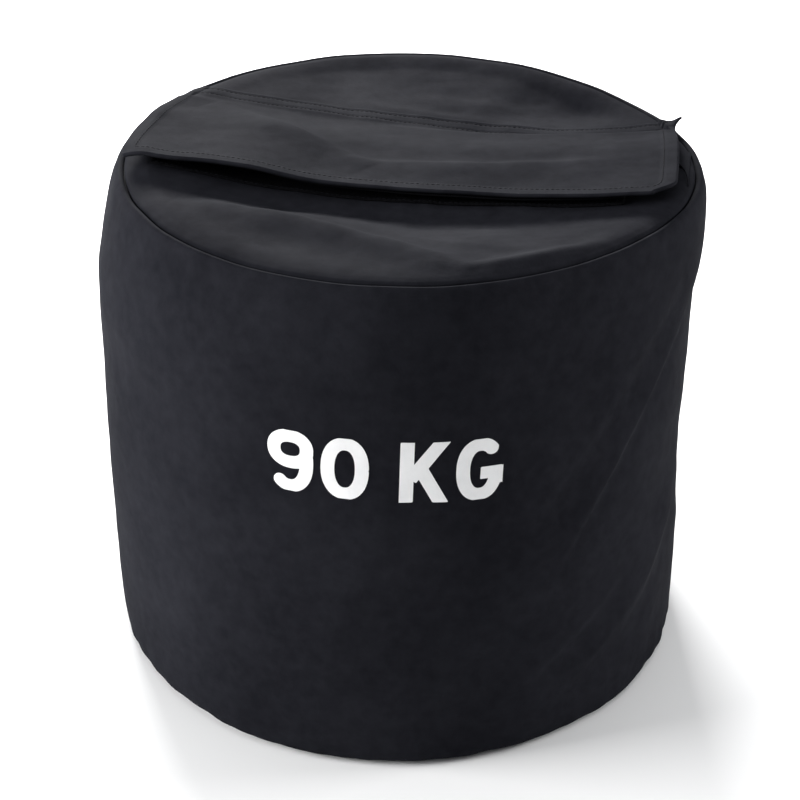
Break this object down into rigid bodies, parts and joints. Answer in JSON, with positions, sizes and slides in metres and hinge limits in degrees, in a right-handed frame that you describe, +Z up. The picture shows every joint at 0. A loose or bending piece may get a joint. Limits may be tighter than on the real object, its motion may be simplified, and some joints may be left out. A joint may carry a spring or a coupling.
{
  "type": "training sandbag",
  "caption": "Flat-bottomed cylindrical sandbag in black cloth, with a wide hook-and-loop flap that lifts from a fill slot across its top.",
  "frame": {"origin": "centre of the base, on the floor", "axes": "+X along the flap's hinge, -Y the front that carries the weight figure, +Z up"},
  "size_m": [0.432, 0.4335, 0.387],
  "materials": {
    "shell_cloth": "black coated nylon, plain weave, soft low sheen",
    "base_cloth": "heavier black coated nylon",
    "lining_cloth": "black coated nylon, coated side out",
    "binding_tape": "black woven binding tape",
    "hook_tape": "black hook tape",
    "loop_tape": "black brushed loop tape",
    "liner_cloth": "thin grey coated liner cloth",
    "tie_plastic": "black nylon cable tie",
    "mark_film": "white heat-pressed film, matt",
    "sand": "dry washed sand"
  },
  "bodies": {
    "bag": {"side_wall": "shell_cloth", "side_seam_strip": "shell_cloth", "base_panel": "base_cloth", "base_reinforcement": "base_cloth", "base_seam_binding": "binding_tape", "rim_seam_binding": "binding_tape", "front_top_panel": "shell_cloth", "back_top_panel": "shell_cloth", "mouth_end_patch_left": "shell_cloth", "mouth_end_patch_right": "shell_cloth", "mouth_front_tape": "binding_tape", "mouth_back_tape": "binding_tape", "panel_loop_tape": "loop_tape", "flap_seam_strip": "shell_cloth", "liner_bag": "liner_cloth", "liner_neck": "liner_cloth", "liner_tie": "tie_plastic", "sand_fill": "sand", "weight_mark": "mark_film"},
    "flap": {"flap_outer": "shell_cloth", "flap_lining": "lining_cloth", "flap_hook_tape": "hook_tape"}
  },
  "joints": [
    {"name": "flap_lift", "type": "hinge", "parent": "bag", "child": "flap", "pos_m": [0, 0.079, 0.379], "axis": [-1, 0, 0], "range_deg": [0, 150]}
  ]
}
